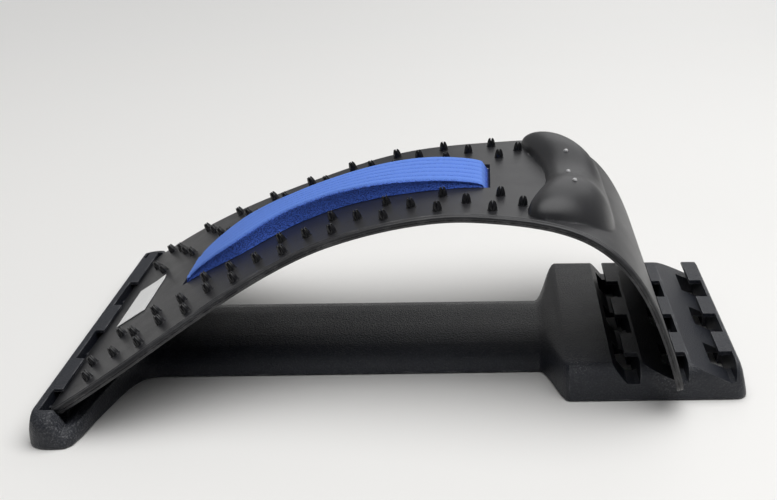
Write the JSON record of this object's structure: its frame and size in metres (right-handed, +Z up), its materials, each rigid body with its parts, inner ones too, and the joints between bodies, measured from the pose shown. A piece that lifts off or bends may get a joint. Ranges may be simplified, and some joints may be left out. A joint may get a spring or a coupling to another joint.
{
  "type": "arched back stretcher",
  "caption": "Arched lumbar stretcher: a waisted curved plate with a neck rest, soft massage nubs and a foam strip, hooked into a moulded base with notched height settings.",
  "frame": {"origin": "on the floor, in the middle of the base's footprint", "axes": "+X from the seat block to the notched block, +Y across to the far side, +Z up from the floor"},
  "size_m": [0.386, 0.2546, 0.119],
  "materials": {
    "base_plastic": "fine matte texture",
    "plate_plastic": "satin, fine texture",
    "nub_rubber": "smooth, slightly glossy",
    "foot_rubber": "matte",
    "foam": "closed-cell foam, matte, porous at the cut sides",
    "label_paper": "bare paper sticker"
  },
  "bodies": {
    "base": {"base_moulding": "base_plastic", "foot_head_back": "foot_rubber", "foot_head_front": "foot_rubber", "foot_seat_back": "foot_rubber", "foot_seat_front": "foot_rubber"},
    "arch": {"arch_plate": "plate_plastic", "blank_label": "label_paper", "foam_strip": "foam", "nub_back_1": "nub_rubber", "nub_back_10": "nub_rubber", "nub_back_11": "nub_rubber", "nub_back_12": "nub_rubber", "nub_back_13": "nub_rubber", "nub_back_14": "nub_rubber", "nub_back_2": "nub_rubber", "nub_back_3": "nub_rubber", "nub_back_4": "nub_rubber", "nub_back_5": "nub_rubber", "nub_back_6": "nub_rubber", "nub_back_7": "nub_rubber", "nub_back_8": "nub_rubber", "nub_back_9": "nub_rubber", "nub_front_1": "nub_rubber", "nub_front_10": "nub_rubber", "nub_front_11": "nub_rubber", "nub_front_12": "nub_rubber", "nub_front_13": "nub_rubber", "nub_front_14": "nub_rubber", "nub_front_2": "nub_rubber", "nub_front_3": "nub_rubber", "nub_front_4": "nub_rubber", "nub_front_5": "nub_rubber", "nub_front_6": "nub_rubber", "nub_front_7": "nub_rubber", "nub_front_8": "nub_rubber", "nub_front_9": "nub_rubber", "nub_pair_back_1": "nub_rubber", "nub_pair_back_2": "nub_rubber", "nub_pair_back_3": "nub_rubber", "nub_pair_back_4": "nub_rubber", "nub_pair_back_5": "nub_rubber", "nub_pair_back_6": "nub_rubber", "nub_pair_back_7": "nub_rubber", "nub_pair_back_8": "nub_rubber", "nub_pair_front_1": "nub_rubber", "nub_pair_front_2": "nub_rubber", "nub_pair_front_3": "nub_rubber", "nub_pair_front_4": "nub_rubber", "nub_pair_front_5": "nub_rubber", "nub_pair_front_6": "nub_rubber", "nub_pair_front_7": "nub_rubber", "nub_pair_front_8": "nub_rubber"}
  },
  "joints": [
    {"name": "arch_swing", "type": "hinge", "parent": "base", "child": "arch", "pos_m": [-0.182, 0, 0.01545], "axis": [0, -1, 0], "range_deg": [0, 15]}
  ]
}
